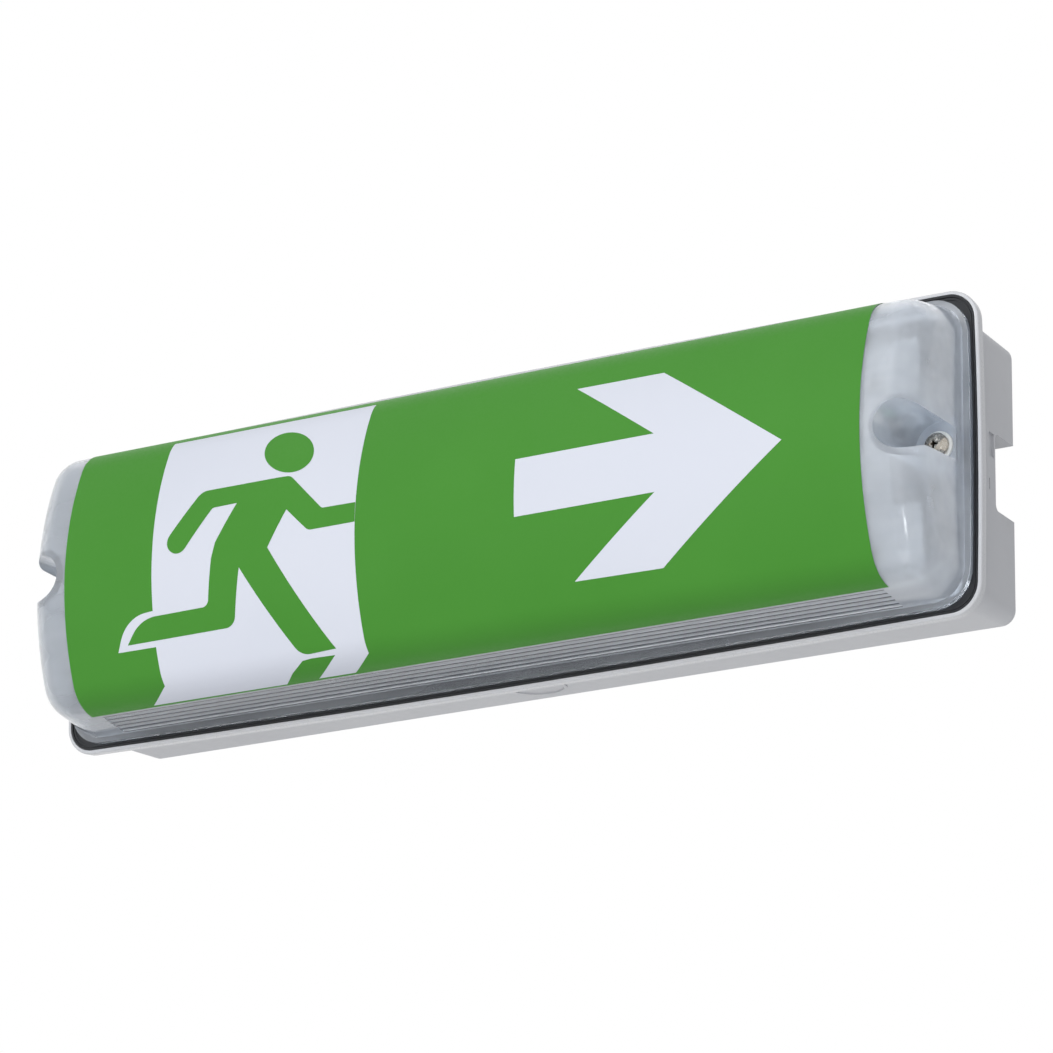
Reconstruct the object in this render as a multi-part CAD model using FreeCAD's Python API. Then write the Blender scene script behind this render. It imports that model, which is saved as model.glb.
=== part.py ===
"""Wall-mounted emergency exit light: a moulded base housing with a gasketed rim, a clear trough
cover held by two screws sunk in end pockets, and inside it a white gear tray that carries an 8 W
fluorescent tube in two turning lampholders, with the board, the battery pack and the mains
terminals behind the tray.

Frame: millimetres, origin at the middle of the wall face, +X along the length, +Z up and -Y out of
the wall. A distance from the wall is called near or far below, and lies at y = -distance."""
import FreeCAD
import Part
import math
import os

# ---------------------------------------------------------------- driving dimensions
# Base housing
rim_length = 411.4          # rim at its corners
rim_height = 125.8
rim_bow = 1.2               # outward bow of each short end
rim_bow_long = 1.5          # and of each long side
rim_corner = 12.5
rim_depth = 44.8            # from the wall to the front of the rim lip
band_depth = 4.2            # depth of the rim band behind the lip's front
band_step = 0.35            # the band sits this far inside the lip
lip_wall = 1.4
lip_depth = 1.4
lip_round = 0.8
shadow_groove = 0.4         # groove between lip and band: width and depth
channel_width = 6.2
channel_depth = 1.5
gasket_gap = 0.25
gasket_strip = 0.8
bead_width = 0.7
bead_step = 1.1
bead_rise = 0.65
body_inset = 6.2            # deep body inside the rim, where it leaves the band
end_face_draft = 3.0        # degrees, the body's short ends
long_face_draft = 2.9
body_corner = 7.5
body_corner_back = 5.5
wall = 2.5
floor_wall = 2.5

# Cable notches in the two ends, against the wall
notch_height = 30.0
notch_depth = 16.6          # out from the wall
notch_reach = 19.1          # in from the end
notch_corner = 2.5
knockout_radius = 11.0      # conduit rings in the long sides
knockout_rise = 0.6
knockout_ring = 1.3
knockout_distance = 17.8
latch_recess = (4.4, 9.5, 0.8)      # across, high, deep, in each end face
latch_recess_z = 9.5
latch_slit = (0.7, 4.2, 0.6)
latch_slit_z = -6.2
latch_gap = 1.2             # from the notch to the recess
latch_slit_gap = 5.2

# Clear cover
foot_margin_x = 5.0         # the cover's walls inside the rim, where they meet the flange
foot_margin_z = 5.1
cover_rise = 41.0           # crest ahead of the rim lip
cover_wall = 2.2
crown_radius = 118.0
shoulder_radius = 16.0
side_draft = 10.0           # degrees
end_draft = 2.0
end_round = 13.0
flange_margin = 3.6         # the flange's edge inside the rim
flange_rise = 2.0           # flange front ahead of the rim lip
flange_wall = 2.4
flange_corner = 14.5
tongue_wall = 1.4
tongue_margin = 0.9
flute_count = 5
flute_pitch = 2.9
flute_radius = 1.6
flute_depth = 0.45
flute_first = 4.4           # first flute ahead of the rim lip
flute_length = 351.0

# Screw pockets and screws
screw_inset = 12.5          # screws inside the rim's ends
pocket_radius = 9.5
pocket_floor = 7.4          # floor ahead of the rim lip
pocket_floor_wall = 2.5
pocket_edge = 1.0
pillar_radius = 4.6
pillar_web = 2.4
screw_head_radius = 4.75
screw_head_height = 3.1
screw_shank_radius = 2.2
screw_length = 16.0
screw_hole_clearance = 0.45
thread_clearance = 0.1
washer_radius = 5.9
washer_height = 1.0
recess_radius = 1.9         # cross recess in the heads
recess_depth = 1.6
recess_slot = 0.9

# Sign film
film_length = 358.0
film_girth = 125.6          # measured round the cover, top edge to bottom edge
film_wall = 0.25

# Gear tray
tray_length = 362.0
tray_flat = 80.0
tray_wing = 7.0             # each wing's width
tray_wing_rise = 5.0
tray_sheet = 1.0
tray_distance = 39.0        # back of the sheet, from the wall
tray_notch = (15.0, 31.0)   # reach and height of the cut-out for each cover pillar
post_spacing_x = 324.0
post_spacing_z = 66.0
post_radius = 4.0
post_pilot_radius = 1.3
tray_screw_head = 3.4
tray_screw_height = 2.2
tray_screw_radius = 1.15
tray_screw_length = 9.0
tray_screw_hole = 1.9

# Tube and lampholders
tube_radius = 8.0
tube_glass_length = 276.0
tube_cap_length = 6.5
tube_cap_wall = 0.5
tube_wall = 0.8
tube_distance = 61.5        # tube axis from the wall
pin_spacing = 4.8
pin_radius = 1.15
pin_length = 6.4
holder_width = 18.0
holder_thickness = 11.0
holder_foot = (7.0, 13.0)   # the snap foot through the tray: thickness, width
holder_gap = 0.5            # between a cap's face and its holder
rotor_radius = 6.4
rotor_length = 7.4
rotor_slot = 2.8
rotor_clearance = 0.35

# Board and what stands on it
board_length = 168.0
board_width = 36.0
board_thickness = 1.6
board_distance = 9.5
board_x = -28.0
board_side_gap = 6.0        # board to the upper side wall
spacer_radius = 2.8
spacer_pin = 1.3
spacer_inset = 6.0
core_size = (24.0, 19.0, 14.0)      # along x, out from the board, along z
coil_size = (13.0, 15.5, 19.0)
connector_way = 3.5
connector_size = (8.0, 7.5)         # height and width of a header
connector_inset = 15.0      # headers inside the board's ends
connector_offset = 8.5
connector_drop = 13.0
connector_gap = 14.0
capacitor_radius = 5.0
capacitor_height = 20.0
capacitor_offset = 8.0
seat_gap = 0.05

# Battery pack
cell_radius = 16.2
cell_length = 58.0
cell_count = 3
cell_waist = 0.7
battery_x = -8.0
battery_side_gap = 2.1      # strap feet to the lower side wall
battery_lift = 0.3          # pack above the floor ribs
strap_wall = 1.4
strap_width = 9.0
strap_foot = 5.0
cradle_rise = 1.6
cradle_wall = 2.0

# Mains terminals and indicator
terminal_ways = 3
terminal_pitch = 9.5
terminal_height = 15.0
terminal_width = 17.0
terminal_x = 88.0
terminal_side_gap = 15.5
terminal_wire = 7.5         # wire way above the strip's seat
terminal_screw_radius = 1.9
led_radius = 2.5
led_height = 6.5
led_x = 166.0
led_z = 22.0
bezel_radius = 4.4

# Wall fixings and cable entry
fixing_spacing = 260.0
fixing_hole = 2.6
fixing_boss = 6.5
fixing_boss_height = 3.5
seal_height = 2.0
grommet_bore = 3.6
grommet_hole = 5.3
grommet_lip = 1.6
grommet_overlap = 1.4
grommet_gap = 0.1
grommet_distance = 9.35

lead_radius = 0.9
lead_rise = 5.0             # how far a lead stands up before it bends
lead_reach = 12.0           # its first run along the board
lead_spread = 3.0

# ---------------------------------------------------------------- worked-out places
cover_foot_length = rim_length - 2 * foot_margin_x
cover_foot_height = rim_height - 2 * foot_margin_z
band_back = rim_depth - band_depth
channel_floor = rim_depth - channel_depth
channel_outer = lip_wall
channel_inner = lip_wall + channel_width
cavity_inset = body_inset + wall
flange_front = rim_depth + flange_rise
flange_back = flange_front - flange_wall
crest = rim_depth + cover_rise
pocket_seat = rim_depth + pocket_floor
pillar_top = pocket_seat - pocket_floor_wall - 0.3
screw_x = rim_length / 2 - screw_inset
tray_front = tray_distance + tray_sheet
tube_half = tube_glass_length / 2 + tube_cap_length
end_shrink = band_back * math.tan(math.radians(end_face_draft))
long_shrink = band_back * math.tan(math.radians(long_face_draft))
body_length_front = rim_length - 2 * body_inset
body_height_front = rim_height - 2 * body_inset
body_length_back = body_length_front - 2 * end_shrink
body_height_back = body_height_front - 2 * long_shrink
battery_distance = floor_wall + cradle_rise + battery_lift + cell_radius
board_front = board_distance + board_thickness
cavity_half = body_height_back / 2 - wall
board_z = cavity_half - board_side_gap - board_width / 2
terminal_z = cavity_half - terminal_side_gap - terminal_width / 2
strap_inner = cell_radius + battery_lift
strap_outer = strap_inner + strap_wall
battery_z = strap_outer + strap_foot + battery_side_gap - cavity_half


# ---------------------------------------------------------------- shape helpers
def at(x, distance, z):
    """A point at a distance out from the wall."""
    return FreeCAD.Vector(x, -distance, z)


def along(reach):
    """A move out from the wall by reach."""
    return FreeCAD.Vector(0, -reach, 0)


def block(x_low, x_high, near, far, z_low, z_high):
    """A straight block between two distances from the wall."""
    return Part.makeBox(x_high - x_low, far - near, z_high - z_low, at(x_low, far, z_low))


def disc(radius, near, far, x=0.0, z=0.0):
    """A round bar that stands out from the wall."""
    return Part.makeCylinder(radius, far - near, at(x, near, z), FreeCAD.Vector(0, -1, 0))


def bar_x(radius, x_low, x_high, distance, z):
    """A round bar along the length."""
    return Part.makeCylinder(radius, x_high - x_low, at(x_low, distance, z), FreeCAD.Vector(1, 0, 0))


def standing_edges(solid):
    """The straight edges that run out from the wall."""
    lines = [e for e in solid.Edges if isinstance(e.Curve, Part.Line)]
    return [e for e in lines if abs(e.tangentAt(e.FirstParameter).y) > 0.99]


def inset_plate(inset, near, far, corner=None):
    """A plate parallel to the wall that follows the rim's bowed outline at an inset."""
    half_l, half_h = rim_length / 2 - inset, rim_height / 2 - inset
    corners = [at(-half_l, near, -half_h), at(half_l, near, -half_h),
               at(half_l, near, half_h), at(-half_l, near, half_h)]
    middles = [at(0, near, -half_h - rim_bow_long), at(half_l + rim_bow, near, 0),
               at(0, near, half_h + rim_bow_long), at(-half_l - rim_bow, near, 0)]
    edges = [Part.Arc(corners[i], middles[i], corners[(i + 1) % 4]).toShape() for i in range(4)]
    solid = Part.Face(Part.Wire(edges)).extrude(along(far - near))
    return solid.makeFillet(corner or max(rim_corner - inset, 2.0), standing_edges(solid))


def rounded_wire(length, height, corner, distance):
    """A closed rounded rectangle at one distance from the wall."""
    half_l, half_h = length / 2 - corner, height / 2 - corner
    edges = []
    for index, (side_x, side_z) in enumerate(((1, -1), (1, 1), (-1, 1), (-1, -1))):
        centre = at(side_x * half_l, distance, side_z * half_h)
        start, middle, end = (math.radians(90 * index - 90 + turn) for turn in (0, 45, 90))
        points = [centre + FreeCAD.Vector(corner * math.cos(a), 0, corner * math.sin(a))
                  for a in (start, middle, end)]
        if edges:
            edges.append(Part.makeLine(last, points[0]))
        else:
            first = points[0]
        edges.append(Part.Arc(*points).toShape())
        last = points[2]
    edges.append(Part.makeLine(last, first))
    return Part.Wire(edges)


def tapered(back, front, near, far):
    """A drafted block: back and front are each a length, a height and a corner radius."""
    wires = [rounded_wire(*back, near), rounded_wire(*front, far)]
    return Part.makeLoft(wires, True, True)


def mirrored_x(solid):
    return solid.mirror(FreeCAD.Vector(0, 0, 0), FreeCAD.Vector(1, 0, 0))


def both_ends(solid):
    """The solid and its twin at the other end."""
    return [solid, mirrored_x(solid)]


def fuse_all(first, others):
    return first.multiFuse(others).removeSplitter()


def cut_all(solid, others):
    return solid.cut(others[0].multiFuse(others[1:]) if len(others) > 1 else others[0])


# ---------------------------------------------------------------- base housing
def notch(side, clearance=0.0, past=4.0):
    """The cable notch of one end, or its lining when grown by a clearance."""
    outer = body_length_front / 2 + past
    inner = body_length_back / 2 - notch_reach - clearance
    half = notch_height / 2 + clearance
    solid = block(inner, outer, -1.0, notch_depth + clearance, -half, half)
    front_edges = [e for e in solid.Edges if isinstance(e.Curve, Part.Line)
                   and abs(e.CenterOfMass.y + notch_depth + clearance) < 0.01
                   and abs(e.tangentAt(e.FirstParameter).x) > 0.99]
    solid = solid.makeFillet(notch_corner + clearance, front_edges)
    return solid if side > 0 else mirrored_x(solid)


def make_base():
    lip = inset_plate(0.0, rim_depth - lip_depth, rim_depth)
    front_edges = [e for e in lip.Edges if abs(e.BoundBox.YMin + rim_depth) < 0.01
                   and e.BoundBox.YLength < 0.01]
    lip = lip.makeFillet(lip_round, front_edges)
    groove = inset_plate(band_step + shadow_groove, rim_depth - lip_depth - shadow_groove,
                         rim_depth - lip_depth)
    band = inset_plate(band_step, band_back, rim_depth - lip_depth - shadow_groove)
    body = tapered((body_length_back, body_height_back, body_corner_back),
                   (body_length_front, body_height_front, body_corner), 0.0, band_back)
    rings = []
    for side in (-1, 1):
        ring = Part.makeCylinder(knockout_radius + knockout_ring / 2, 12.0,
                                 at(0, knockout_distance, side * body_height_back / 2 - 6.0))
        hollow = Part.makeCylinder(knockout_radius - knockout_ring / 2, 12.0,
                                   at(0, knockout_distance, side * body_height_back / 2 - 6.0))
        grown = tapered((body_length_back + 2 * knockout_rise, body_height_back + 2 * knockout_rise,
                         body_corner_back),
                        (body_length_front + 2 * knockout_rise, body_height_front + 2 * knockout_rise,
                         body_corner), 0.0, band_back)
        rings.append(ring.cut(hollow).common(grown))
    shell = fuse_all(lip, [groove, band, body] + rings)

    cavity_back = (body_length_back - 2 * wall, body_height_back - 2 * wall, body_corner_back - wall)
    cavity_front = (rim_length - 2 * cavity_inset, rim_height - 2 * cavity_inset, body_corner - wall)
    cavity = tapered(cavity_back, cavity_front, floor_wall, rim_depth + 1.0)
    linings = [notch(side, wall) for side in (-1, 1)]
    channel = inset_plate(channel_outer, channel_floor, rim_depth + 1.0).cut(
        inset_plate(channel_inner, channel_floor - 1.0, rim_depth + 2.0))
    lowered = inset_plate(channel_inner - 0.01, rim_depth - 1.0, rim_depth + 1.0)
    shell = cut_all(shell, [cut_all(cavity, linings), channel, lowered])

    posts = [disc(post_radius, floor_wall - 0.5, tray_distance, sx * post_spacing_x / 2,
                  sz * post_spacing_z / 2) for sx in (-1, 1) for sz in (-1, 1)]
    bosses = [disc(fixing_boss, floor_wall - 0.5, floor_wall + fixing_boss_height,
                   side * fixing_spacing / 2, 0) for side in (-1, 1)]
    pillars = []
    for side in (-1, 1):
        pillar = disc(pillar_radius, notch_depth, pillar_top, side * screw_x)
        web_end = side * (rim_length / 2 - cavity_inset + 1.0)
        web = block(min(side * screw_x, web_end), max(side * screw_x, web_end),
                    notch_depth + wall, band_back, -pillar_web / 2, pillar_web / 2)
        inside = block(-cover_foot_length / 2 + cover_wall + 0.6, cover_foot_length / 2 - cover_wall - 0.6,
                       notch_depth, pillar_top + 1, -10, 10)
        pillars.append(pillar.common(inside).fuse(web))
    ribs = cradle_ribs()
    shell = fuse_all(shell, posts + bosses + pillars + ribs)

    cuts = [notch(side) for side in (-1, 1)]
    cuts += [disc(post_pilot_radius, tray_distance - tray_screw_length - 2, tray_distance + 1,
                  sx * post_spacing_x / 2, sz * post_spacing_z / 2) for sx in (-1, 1) for sz in (-1, 1)]
    cuts += [disc(fixing_hole, -1, floor_wall + fixing_boss_height + 1, side * fixing_spacing / 2, 0)
             for side in (-1, 1)]
    cuts += [disc(screw_shank_radius + thread_clearance, pillar_top - screw_length, pillar_top + 1,
                  side * screw_x) for side in (-1, 1)]
    entry_x = -(body_length_back / 2 - notch_reach)
    cuts.append(bar_x(grommet_hole, entry_x - 1, entry_x + wall + 1, grommet_distance, 0))
    face_x = body_length_back / 2 + end_shrink * (notch_depth / band_back)
    for (width, height, depth), gap, centre in ((latch_recess, latch_gap, latch_recess_z),
                                                (latch_slit, latch_slit_gap, latch_slit_z)):
        near = notch_depth + gap
        pocket = block(face_x - depth, face_x + 3, near, near + width,
                       centre - height / 2, centre + height / 2)
        cuts += both_ends(pocket)
    return cut_all(shell, cuts)


def cradle_ribs():
    """Floor ribs with a hollow top that carry the battery pack."""
    ribs = []
    for side in (-1, 0, 1):
        x = battery_x + side * cell_length
        half = cell_radius * 0.72
        rib = block(x - cradle_wall / 2, x + cradle_wall / 2, floor_wall - 0.5,
                    floor_wall + cradle_rise + cell_radius * 0.3, battery_z - half, battery_z + half)
        ribs.append(rib.cut(bar_x(cell_radius + battery_lift, x - cradle_wall, x + cradle_wall,
                                  battery_distance, battery_z)))
    return ribs


# ---------------------------------------------------------------- gasket
def make_gasket():
    """A flat strip in the rim channel with two raised beads outside the cover's flange."""
    strip_top = channel_floor + gasket_strip
    strip = inset_plate(channel_outer + gasket_gap, channel_floor + seat_gap, strip_top).cut(
        inset_plate(channel_inner - gasket_gap, channel_floor - 1, strip_top + 1))
    beads = []
    for index in range(2):
        outer = channel_outer + gasket_gap + bead_step * index
        top = strip_top + bead_rise - 0.25 * index
        beads.append(inset_plate(outer, strip_top - 0.4, top).cut(
            inset_plate(outer + bead_width, channel_floor, top + 1)))
    return fuse_all(strip, beads)


# ---------------------------------------------------------------- clear cover
def cover_section(offset):
    """Half outline of the cover's section: crown, shoulder and side wall, as three points each.
    Returns the crown's middle, the tangent points and the wall's foot as (z, distance)."""
    radius = crown_radius - offset
    shoulder = shoulder_radius - offset
    draft = math.radians(side_draft)
    centre = crest - crown_radius
    foot = (cover_foot_height / 2 - offset / math.cos(draft), rim_depth)
    inward = (-math.cos(draft), -math.sin(draft))
    up = (-math.sin(draft), math.cos(draft))
    base = (foot[0] + inward[0] * shoulder, foot[1] + inward[1] * shoulder - centre)
    b = base[0] * up[0] + base[1] * up[1]
    c = base[0] ** 2 + base[1] ** 2 - (radius - shoulder) ** 2
    run = -b + math.sqrt(b * b - c)
    hub = (base[0] + run * up[0], base[1] + run * up[1])
    side_point = (hub[0] - inward[0] * shoulder, hub[1] - inward[1] * shoulder)
    scale = radius / math.hypot(*hub)
    crown_point = (hub[0] * scale, hub[1] * scale)
    lean = (math.atan2(hub[1], hub[0]) + math.atan2(-inward[1], -inward[0])) / 2
    mid = (hub[0] + shoulder * math.cos(lean), hub[1] + shoulder * math.sin(lean))
    points = [(0.0, radius), crown_point, mid, side_point]
    return [(z, d + centre) for z, d in points] + [foot]


def cover_face(offset, x, foot_distance):
    """The closed section at one place along the length."""
    top, crown_point, mid, side_point, foot = cover_section(offset)
    drop = (foot[1] - foot_distance) * math.tan(math.radians(side_draft))
    low = (foot[0] + drop, foot_distance)

    def point(pair, side=1):
        return at(x, pair[1], side * pair[0])

    edges = [Part.makeLine(point(low, -1), point(side_point, -1)),
             Part.Arc(point(side_point, -1), point(mid, -1), point(crown_point, -1)).toShape(),
             Part.Arc(point(crown_point, -1), point(top), point(crown_point)).toShape(),
             Part.Arc(point(crown_point), point(mid), point(side_point)).toShape(),
             Part.makeLine(point(side_point), point(low)),
             Part.makeLine(point(low), point(low, -1))]
    return Part.Face(Part.Wire(edges))


def cover_block(offset, foot_distance):
    """The cover's outer form, or its hollow when offset by the wall."""
    half = cover_foot_length / 2 - offset
    solid = cover_face(offset, -half - 5, foot_distance).extrude(FreeCAD.Vector(2 * half + 10, 0, 0))
    slope = math.tan(math.radians(end_draft))
    tip = crest + 5
    shift_low = (rim_depth - foot_distance) * slope
    shift_high = (tip - rim_depth) * slope
    profile = [at(-half - shift_low, foot_distance - 1, -80), at(half + shift_low, foot_distance - 1, -80),
               at(half - shift_high, tip, -80), at(-half + shift_high, tip, -80)]
    profile.append(profile[0])
    wedge = Part.Face(Part.makePolygon(profile)).extrude(FreeCAD.Vector(0, 0, 160))
    solid = solid.common(wedge)
    ends = [e for e in solid.Edges if e.BoundBox.XMin > half - 5 or e.BoundBox.XMax < -half + 5]
    ends = [e for e in ends if not (e.BoundBox.YLength < 0.01 and isinstance(e.Curve, Part.Line))]
    return solid.makeFillet(end_round - offset, ends)


def make_flutes():
    """Round-bottomed flutes along both side walls, below the sign film."""
    draft = math.radians(side_draft)
    flutes = []
    for index in range(flute_count):
        distance = rim_depth + flute_first + index * flute_pitch
        face = cover_foot_height / 2 - (distance - rim_depth) * math.tan(draft)
        centre = face + flute_radius - flute_depth
        for side in (-1, 1):
            flutes.append(bar_x(flute_radius, -flute_length / 2, flute_length / 2, distance, side * centre))
    return flutes


def make_cover():
    outer = cover_block(0.0, flange_back)
    inner = cover_block(cover_wall, flange_back - 6)
    boss_radius = pocket_radius + cover_wall
    bosses = [disc(boss_radius, pocket_seat - pocket_floor_wall, crest + 5, side * screw_x)
              for side in (-1, 1)]
    inner = cut_all(inner, bosses)
    flange = inset_plate(flange_margin, flange_back, flange_front, flange_corner)
    rings = []
    for inset, near, far in ((tongue_margin, channel_floor + gasket_strip + seat_gap, flange_back + 0.5),
                             (tongue_margin + tongue_wall, channel_floor, flange_front)):
        rings.append(inset_plate(flange_margin + inset, near, far, flange_corner - inset))
    shell = fuse_all(outer, [flange, rings[0].cut(rings[1])])
    cuts = [inner]
    for side in (-1, 1):
        cuts.append(disc(pocket_radius, pocket_seat, crest + 5, side * screw_x))
        cuts.append(disc(screw_shank_radius + screw_hole_clearance, rim_depth, crest, side * screw_x))
    cuts += make_flutes()
    return cut_all(shell, cuts)


def make_film():
    """The printed film, wrapped over the crown and both shoulders of the cover."""
    half = film_length / 2
    outer = cover_face(-film_wall - seat_gap, -half, rim_depth).extrude(FreeCAD.Vector(film_length, 0, 0))
    inner = cover_face(-seat_gap, -half - 1, rim_depth - 1).extrude(FreeCAD.Vector(film_length + 2, 0, 0))
    top, crown_point, mid, side_point, foot = cover_section(0.0)
    crown_arc = crown_radius * math.asin(crown_point[0] / crown_radius)
    turn = math.pi / 2 - math.radians(side_draft) - math.asin(crown_point[0] / crown_radius)
    left_over = film_girth / 2 - crown_arc - shoulder_radius * turn
    edge_distance = side_point[1] - left_over * math.cos(math.radians(side_draft))
    below = block(-half - 1, half + 1, rim_depth - 5, edge_distance, -rim_height, rim_height)
    return outer.cut(inner).cut(below)


# ---------------------------------------------------------------- screws and washers
def pan_head(radius, height, near, x, z=0.0):
    """A pan head: a short edge under a domed top."""
    profile = [at(0, near, 0), at(radius, near, 0), at(radius, near + height * 0.45, 0)]
    rim = at(radius, near + height * 0.45, 0)
    middle = at(radius * 0.78, near + height * 0.86, 0)
    top = at(0, near + height, 0)
    edges = [Part.makeLine(profile[0], profile[1]), Part.makeLine(profile[1], profile[2]),
             Part.Arc(rim, middle, top).toShape(), Part.makeLine(top, profile[0])]
    solid = Part.Face(Part.Wire(edges)).revolve(at(0, 0, 0), FreeCAD.Vector(0, 1, 0), 360)
    solid.translate(FreeCAD.Vector(x, 0, z))
    return solid


def cross_recess(far, x, z=0.0, scale=1.0):
    """The tapered cross socket in a head."""
    reach, half, depth = recess_radius * scale, recess_slot * scale / 2, recess_depth * scale
    arms = [block(x - reach, x + reach, far - depth, far + 1, z - half, z + half),
            block(x - half, x + half, far - depth, far + 1, z - reach, z + reach)]
    cone = Part.makeCone(reach * 0.2, reach * 1.15, depth + 0.4, at(x, far - depth, z),
                         FreeCAD.Vector(0, -1, 0))
    return arms[0].fuse(arms[1]).common(cone)


def make_cover_screw(side):
    x = side * screw_x
    seat = pocket_seat + washer_height + seat_gap
    head = pan_head(screw_head_radius, screw_head_height, seat, x)
    tip = 2.5
    shank = disc(screw_shank_radius, seat - screw_length + tip, seat + 0.5, x)
    point = Part.makeCone(0.6, screw_shank_radius, tip, at(x, seat - screw_length, 0),
                          FreeCAD.Vector(0, -1, 0))
    return fuse_all(head, [shank, point]).cut(cross_recess(seat + screw_head_height, x))


def make_cover_washers():
    washer = disc(washer_radius, pocket_seat, pocket_seat + washer_height, screw_x).cut(
        disc(screw_shank_radius + 0.25, pocket_seat - 1, pocket_seat + washer_height + 1, screw_x))
    upper = [e for e in washer.Edges if abs(e.BoundBox.YMin + pocket_seat + washer_height) < 0.01
             and e.BoundBox.XLength > 2 * washer_radius - 0.1 and e.BoundBox.YLength < 0.01]
    return Part.makeCompound(both_ends(washer.makeFillet(0.45, upper)))


# ---------------------------------------------------------------- gear tray
def make_tray():
    """A folded white sheet: a flat web with a raised wing along each long side."""
    half_flat, half_all = tray_flat / 2, tray_flat / 2 + tray_wing
    back, front = tray_distance, tray_front
    rise = tray_wing_rise
    points = [(-half_all, back + rise), (-half_flat, back), (half_flat, back), (half_all, back + rise),
              (half_all - 0.2, front + rise), (half_flat - 0.45, front), (-half_flat + 0.45, front),
              (-half_all + 0.2, front + rise)]
    half = tray_length / 2
    wire = Part.makePolygon([at(-half, d, z) for z, d in points + points[:1]])
    tray = Part.Face(wire).extrude(FreeCAD.Vector(tray_length, 0, 0))
    cuts = []
    reach, height = tray_notch
    slot = block(half - reach, half + 1, back - 1, front + 1, -height / 2, height / 2)
    inner = [e for e in standing_edges(slot) if e.BoundBox.XMin < half - reach + 0.1]
    cuts += both_ends(slot.makeFillet(4.0, inner))
    foot_x = tube_half + holder_gap + holder_thickness / 2
    cuts += both_ends(block(foot_x - holder_foot[0] / 2 - 0.2, foot_x + holder_foot[0] / 2 + 0.2, back - 1,
                            front + 1, -holder_foot[1] / 2 - 0.2, holder_foot[1] / 2 + 0.2))
    cuts += [disc(tray_screw_hole, back - 1, front + 1, sx * post_spacing_x / 2, sz * post_spacing_z / 2)
             for sx in (-1, 1) for sz in (-1, 1)]
    cuts.append(disc(led_radius + 0.6, back - 1, front + 1, led_x, led_z))
    return cut_all(tray, cuts)


def make_tray_screws():
    screws = []
    for sx in (-1, 1):
        for sz in (-1, 1):
            x, z = sx * post_spacing_x / 2, sz * post_spacing_z / 2
            near = tray_front + seat_gap
            head = pan_head(tray_screw_head, tray_screw_height, near, x, z)
            shank = disc(tray_screw_radius, near - tray_screw_length, near + 0.5, x, z)
            screws.append(head.fuse(shank).cut(cross_recess(near + tray_screw_height, x, z, 0.72)))
    return Part.makeCompound(screws)


# ---------------------------------------------------------------- tube and lampholders
def make_tube():
    half = tube_glass_length / 2
    glass = bar_x(tube_radius, -half, half, tube_distance, 0)
    ends = [e for e in glass.Edges if isinstance(e.Curve, Part.Circle)]
    bore = bar_x(tube_radius - tube_wall, -half - 1, half + 1, tube_distance, 0)
    return glass.makeFillet(tube_wall * 0.6, ends).cut(bore)


def make_caps():
    inner_x = tube_half - tube_cap_length
    radius = tube_radius + tube_cap_wall
    cap = bar_x(radius, inner_x - 3.0, tube_half, tube_distance, 0)
    outer_edge = [e for e in cap.Edges if isinstance(e.Curve, Part.Circle) and e.BoundBox.XMin > inner_x]
    cap = cap.makeFillet(1.2, outer_edge)
    cap = cap.cut(bar_x(tube_radius + 0.05, inner_x - 4.0, inner_x + seat_gap, tube_distance, 0))
    for side in (-1, 1):
        cap = cap.cut(bar_x(pin_radius + 0.05, inner_x, tube_half + 1, tube_distance,
                            side * pin_spacing / 2))
    return Part.makeCompound(both_ends(cap))


def make_pins():
    pins = []
    for side in (-1, 1):
        z = side * pin_spacing / 2
        pin = bar_x(pin_radius, tube_half - 4.0, tube_half + pin_length, tube_distance, z)
        tips = [e for e in pin.Edges if isinstance(e.Curve, Part.Circle) and e.BoundBox.XMin > tube_half]
        pins += both_ends(pin.makeFillet(0.5, tips))
    return Part.makeCompound(pins)


def make_holder():
    """The right lampholder: a round-topped block with a turning seat, a feed slot and a snap foot."""
    inner = tube_half + holder_gap
    outer = inner + holder_thickness
    half = holder_width / 2
    near = tray_front + seat_gap
    body = block(inner, outer, near, tube_distance, -half, half)
    body = body.fuse(bar_x(half, inner, outer, tube_distance, 0)).removeSplitter()
    middle = (inner + outer) / 2
    foot = block(middle - holder_foot[0] / 2, middle + holder_foot[0] / 2, tray_distance - 4.0, near + 1.0,
                 -holder_foot[1] / 2, holder_foot[1] / 2)
    seat = bar_x(rotor_radius + rotor_clearance, inner - 1, inner + rotor_length + rotor_clearance,
                 tube_distance, 0)
    slot = block(inner - 1, inner + rotor_length + rotor_clearance, tube_distance, tube_distance + 20,
                 -rotor_slot / 2, rotor_slot / 2)
    return body.fuse(foot).removeSplitter().cut(seat).cut(slot)


def make_rotors():
    """The turning discs that grip the tube's pins; the pins cross their slots."""
    inner = tube_half + holder_gap
    rotor = bar_x(rotor_radius, inner, inner + rotor_length, tube_distance, 0)
    half = rotor_slot / 2
    slot = block(inner - 1, inner + rotor_length - 1.2, tube_distance - pin_radius - 0.1,
                 tube_distance + pin_radius + 0.1, -rotor_radius - 1, rotor_radius + 1)
    grip = block(inner + rotor_length - 1.2, inner + rotor_length + 1, tube_distance - half / 2,
                 tube_distance + half / 2, -rotor_radius + 2, rotor_radius - 2)
    return Part.makeCompound(both_ends(rotor.cut(slot).cut(grip)))


# ---------------------------------------------------------------- board
def board_corners(inset):
    return [(board_x + sx * (board_length / 2 - inset), board_z + sz * (board_width / 2 - inset))
            for sx in (-1, 1) for sz in (-1, 1)]


def make_board():
    board = block(board_x - board_length / 2, board_x + board_length / 2, board_distance, board_front,
                  board_z - board_width / 2, board_z + board_width / 2)
    board = board.makeFillet(2.0, standing_edges(board))
    holes = [disc(spacer_pin + 0.2, board_distance - 1, board_front + 1, x, z)
             for x, z in board_corners(spacer_inset)]
    return cut_all(board, holes)


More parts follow.
